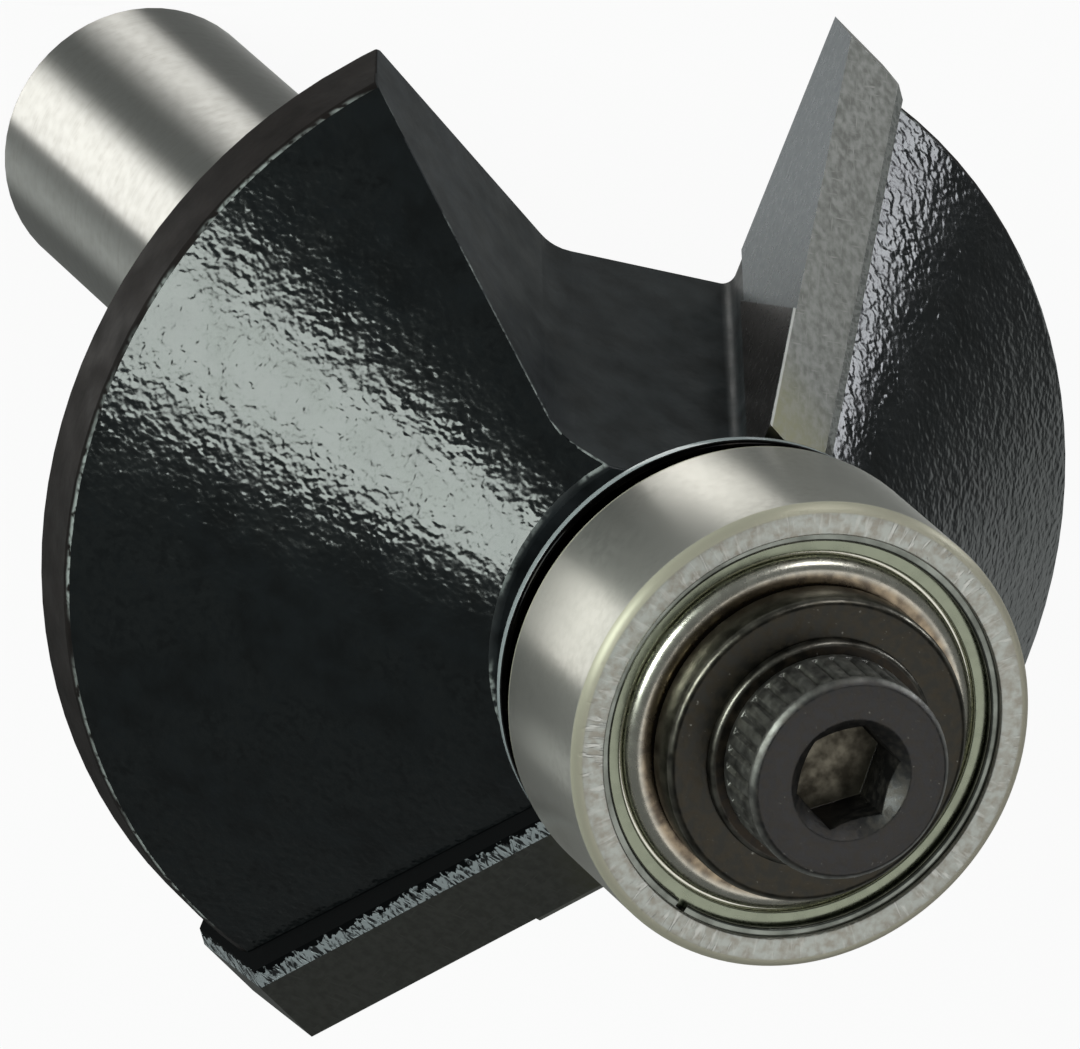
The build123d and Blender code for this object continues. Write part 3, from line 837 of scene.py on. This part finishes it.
def addWire(name, values, side):
    # A plane is the section of the wire, rounded, then spun short of a full turn.
    bpy.ops.object.select_all(action="DESELECT")
    centre = values["outer"] - values["width"] / 2
    height = bearingMiddle + side * (halfWidth - values["sink"])
    openAngle = values["gap"] / centre
    start = radians(values["gapTurn"]) + openAngle / 2
    bpy.ops.mesh.primitive_plane_add(size=1.0, location=(centre * mm, 0, height * mm), rotation=(pi / 2, 0, 0))
    piece = bpy.context.object
    piece.scale = (values["width"] * mm, values["thickness"] * mm, 1)
    bpy.ops.object.transform_apply(location=True, rotation=True, scale=True)
    bpy.ops.object.mode_set(mode="EDIT")
    bpy.ops.mesh.select_all(action="SELECT")
    bpy.ops.mesh.bevel(offset=values["round"] * mm, segments=5, affect="VERTICES", clamp_overlap=True)
    bpy.ops.mesh.select_all(action="SELECT")
    bpy.ops.transform.rotate(value=-start, orient_axis="Z", center_override=(0, 0, 0))
    bpy.ops.mesh.spin(steps=values["steps"], angle=2 * pi - openAngle, center=(0, 0, height * mm), axis=(0, 0, 1))
    bpy.ops.mesh.select_all(action="SELECT")
    bpy.ops.mesh.remove_doubles(threshold=0.002 * mm)
    bpy.ops.mesh.normals_make_consistent(inside=False)
    piece = startPiece("wireRing_" + name)
    finishPiece(piece, "guide_ring", ["snap_ring_" + name], [wireMetal])


addWire("front", wire, 1)
addWire("back", wire, -1)
print("bearing rings made")


# Nose stack: dust disc, washer and lock washer.
noseRings = {
    "dustDisc": {"bore": 2.391, "flange": 6.15, "flangeHeight": 0.5, "boss": 3.3, "corner": 0.14},
    "washer": {"bore": 1.6, "radius": 4.15, "corner": 0.2, "seatEdge": 0.05},
    "lockWasher": {"bore": 1.6, "radius": 3.1, "corner": 0.14, "seatEdge": 0.05},
}


def addDustDisc(values):
    low, high = [corner.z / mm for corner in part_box("dust_disc")]
    top = low + values["flangeHeight"]
    profile = [
        (values["bore"], low), (values["flange"], low), (values["flange"], top),
        (values["boss"], top), (values["boss"], high), (values["bore"], high),
    ]
    rounds = {(values["flange"], low): values["corner"], (values["flange"], top): values["corner"]}
    piece = turnedPiece("dustDisc", profile, rounds)
    finishPiece(piece, "cutter", ["dust_disc"], [discMetal])


def addPlainWasher(name, node, values, material):
    low, high = [corner.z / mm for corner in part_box(node)]
    profile = [(values["bore"], low), (values["radius"], low), (values["radius"], high), (values["bore"], high)]
    rounds = {(values["radius"], high): values["corner"], (values["radius"], low): values["seatEdge"]}
    piece = turnedPiece(name, profile, rounds)
    finishPiece(piece, "cutter", [node], [material])


addDustDisc(noseRings["dustDisc"])
addPlainWasher("washerPlate", "washer", noseRings["washer"], washerMetal)
addPlainWasher("lockWasherPlate", "lock_washer", noseRings["lockWasher"], lockWasherMetal)
print("nose rings made")


def cleanCopy(node, name):
    # A copy of a CAD solid, merged and cleaned to whole faces.
    bpy.ops.object.select_all(action="DESELECT")
    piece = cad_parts[node].copy()
    piece.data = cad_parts[node].data.copy()
    piece.data.materials.clear()
    piece.parent = None
    for key in [key for key in piece.keys() if key.startswith("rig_")]:
        del piece[key]
    bpy.context.scene.collection.objects.link(piece)
    piece.select_set(True)
    bpy.context.view_layer.objects.active = piece
    bpy.ops.object.mode_set(mode="EDIT")
    bpy.ops.mesh.select_all(action="SELECT")
    bpy.ops.mesh.remove_doubles(threshold=0.0005 * mm)
    bpy.ops.mesh.dissolve_limited(angle_limit=radians(0.4))
    bpy.ops.mesh.customdata_custom_splitnormals_clear()
    startPiece(name)
    return piece


def bevelEdges(piece, width, angle, segments=3):
    # Rounds every edge that turns by more than this angle. The width is in millimetres.
    modifier = piece.modifiers.new("softEdges", "BEVEL")
    modifier.width = width * mm
    modifier.segments = segments
    modifier.limit_method = "ANGLE"
    modifier.angle_limit = radians(angle)
    modifier.use_clamp_overlap = False
    bpy.ops.object.modifier_apply(modifier=modifier.name)


def trueNormals(piece, coneSlots, wallSlots, flatArea):
    # Turned faces are shaded as the true cone and cylinders, and large flat faces as flat.
    mesh = piece.data
    normals = [Vector(corner.vector) for corner in mesh.corner_normals]
    for polygon in mesh.polygons:
        for loop in polygon.loop_indices:
            place = mesh.vertices[mesh.loops[loop].vertex_index].co
            outward = Vector((place.x, place.y, 0)).normalized()
            if polygon.material_index in coneSlots:
                normals[loop] = (outward + Vector((0, 0, 1))).normalized()
            elif polygon.material_index in wallSlots and abs(polygon.normal.z) < 0.05:
                normals[loop] = outward
            elif polygon.area > flatArea * mm * mm:
                normals[loop] = polygon.normal.copy()
    mesh.normals_split_custom_set(normals)


cutterBody = {
    "shankRadius": 4.05, "headBack": 32.4, "rimTop": 34.47, "rimRadius": 14.05, "noseEnd": 43.2,
    "spigotRadius": 2.6, "edge": 0.06, "edgeAngle": 40, "flatArea": 4.0,
}


def addCutterBody(values):
    piece = cleanCopy("cutter_body", "cutterBody")
    for material in (coneEnamel, gulletEnamel, rimEnamel, shankMetal, raceMetal):
        piece.data.materials.append(material)
    coneSlot, gulletSlot, rimSlot, shankSlot, raceSlot = range(5)
    for polygon in piece.data.polygons:
        centre, normal = polygon.center / mm, polygon.normal
        radius = hypot(centre.x, centre.y)
        outward = (normal.x * centre.x + normal.y * centre.y) / max(radius, 1e-6)
        corners = [piece.data.vertices[i].co / mm for i in polygon.vertices]
        reach = max(hypot(c.x, c.y) for c in corners)
        if centre.z < values["headBack"] + 0.01 and reach < values["shankRadius"]:
            polygon.material_index = shankSlot
        elif centre.z > values["noseEnd"] + 0.02 and reach < values["spigotRadius"]:
            polygon.material_index = raceSlot
        elif all(abs(hypot(c.x, c.y) + c.z - coneSum) < 0.02 for c in corners) and centre.z > values["rimTop"]:
            polygon.material_index = coneSlot
        elif centre.z < values["rimTop"] and outward > 0.9 and reach > values["rimRadius"]:
            polygon.material_index = rimSlot
        else:
            polygon.material_index = gulletSlot
    bevelEdges(piece, values["edge"], values["edgeAngle"])
    finishPiece(piece, "cutter", ["cutter_body"], [])
    trueNormals(piece, (coneSlot,), (rimSlot, shankSlot), values["flatArea"])


addCutterBody(cutterBody)
print("cutter body made")

capScrew = {"edge": 0.035, "edgeAngle": 30, "socketFloor": 53.02, "socketRadius": 1.5}


def addCapScrew(values):
    piece = cleanCopy("cap_screw", "capScrew")
    for material in (screwMetal, socketMetal):
        piece.data.materials.append(material)
    for polygon in piece.data.polygons:
        centre = polygon.center / mm
        inside = hypot(centre.x, centre.y) < values["socketRadius"] and polygon.normal.z > 0.9
        polygon.material_index = 1 if inside and abs(centre.z - values["socketFloor"]) < 0.05 else 0
    bevelEdges(piece, values["edge"], values["edgeAngle"])
    finishPiece(piece, "cutter", ["cap_screw"], [])


addCapScrew(capScrew)
print("cap screw made")


# Finishes of the CAD solids whose shape is right as it is. A face that pick says yes to takes the second one.
def dress(node, materials, pick=None):
    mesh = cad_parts[node].data
    mesh.materials.clear()
    for material in materials:
        mesh.materials.append(material)
    for polygon in mesh.polygons:
        polygon.material_index = int(pick(polygon)) if pick else 0


for number, turn in ((1, 0), (2, 180)):
    rakeMetal = carbideFinish("diamondGroundCarbideRake_%d" % number, carbideRake, turn)
    clearanceMetal = carbideFinish("diamondGroundCarbideRelief_%d" % number, carbideClearance, turn)
    lean = radians(rakePlane["shearDeg"])
    rakeNormal = Matrix.Rotation(radians(turn), 3, "Z") @ Vector((-cos(lean), 0, -sin(lean)))
    dress("carbide_tip_%d" % number, [clearanceMetal, rakeMetal],
          lambda polygon: polygon.normal.dot(rakeNormal) > 0.98)
    brazeMetal = silverBraze("groundSilverBraze_%d" % number, brazeHatch if turn else brazeFlush, turn)
    dress("braze_seam_%d" % number, [brazeMetal])
dress("bearing_inner_ring", [raceMetal])
dress("bearing_cage", [cageMetal])
for number in range(1, 8):
    dress("bearing_ball_%d" % number, [ballMetal])
print("CAD solids dressed")

bpy.context.scene.view_settings.view_transform = "Standard"
print("scene ready")
